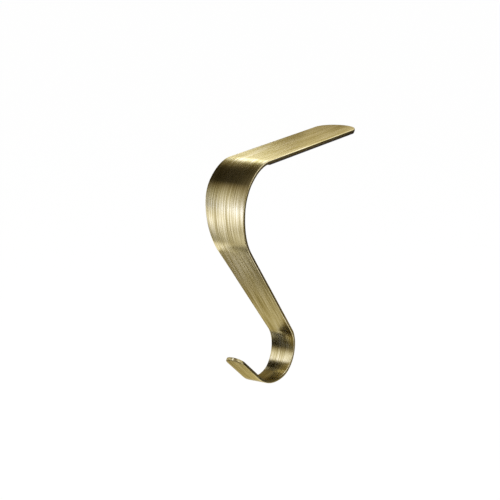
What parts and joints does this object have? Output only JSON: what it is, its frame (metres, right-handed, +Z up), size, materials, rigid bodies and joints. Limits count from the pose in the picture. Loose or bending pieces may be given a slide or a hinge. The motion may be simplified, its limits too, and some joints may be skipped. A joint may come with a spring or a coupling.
{
  "type": "mantel stocking holder",
  "caption": "Tapered metal strip bent to an S: a flat padded tongue rests on a mantel shelf, and a J-hook in front carries a stocking's loop.",
  "frame": {"origin": "middle of the tongue's length and width, on the pad's underside, which rests on the shelf's top", "axes": "+Z up, square to the shelf's top; +Y to the rear, along the tongue; -Y to the front, towards the belly and the hook; +X across the strip"},
  "size_m": [0.025, 0.1462, 0.1338],
  "materials": {
    "strip_metal": "brushed antique brass under clear satin lacquer",
    "pad_rubber": "matte, smooth"
  },
  "bodies": {
    "root": {"hook_strip": "strip_metal", "grip_pad": "pad_rubber"}
  },
  "joints": []
}
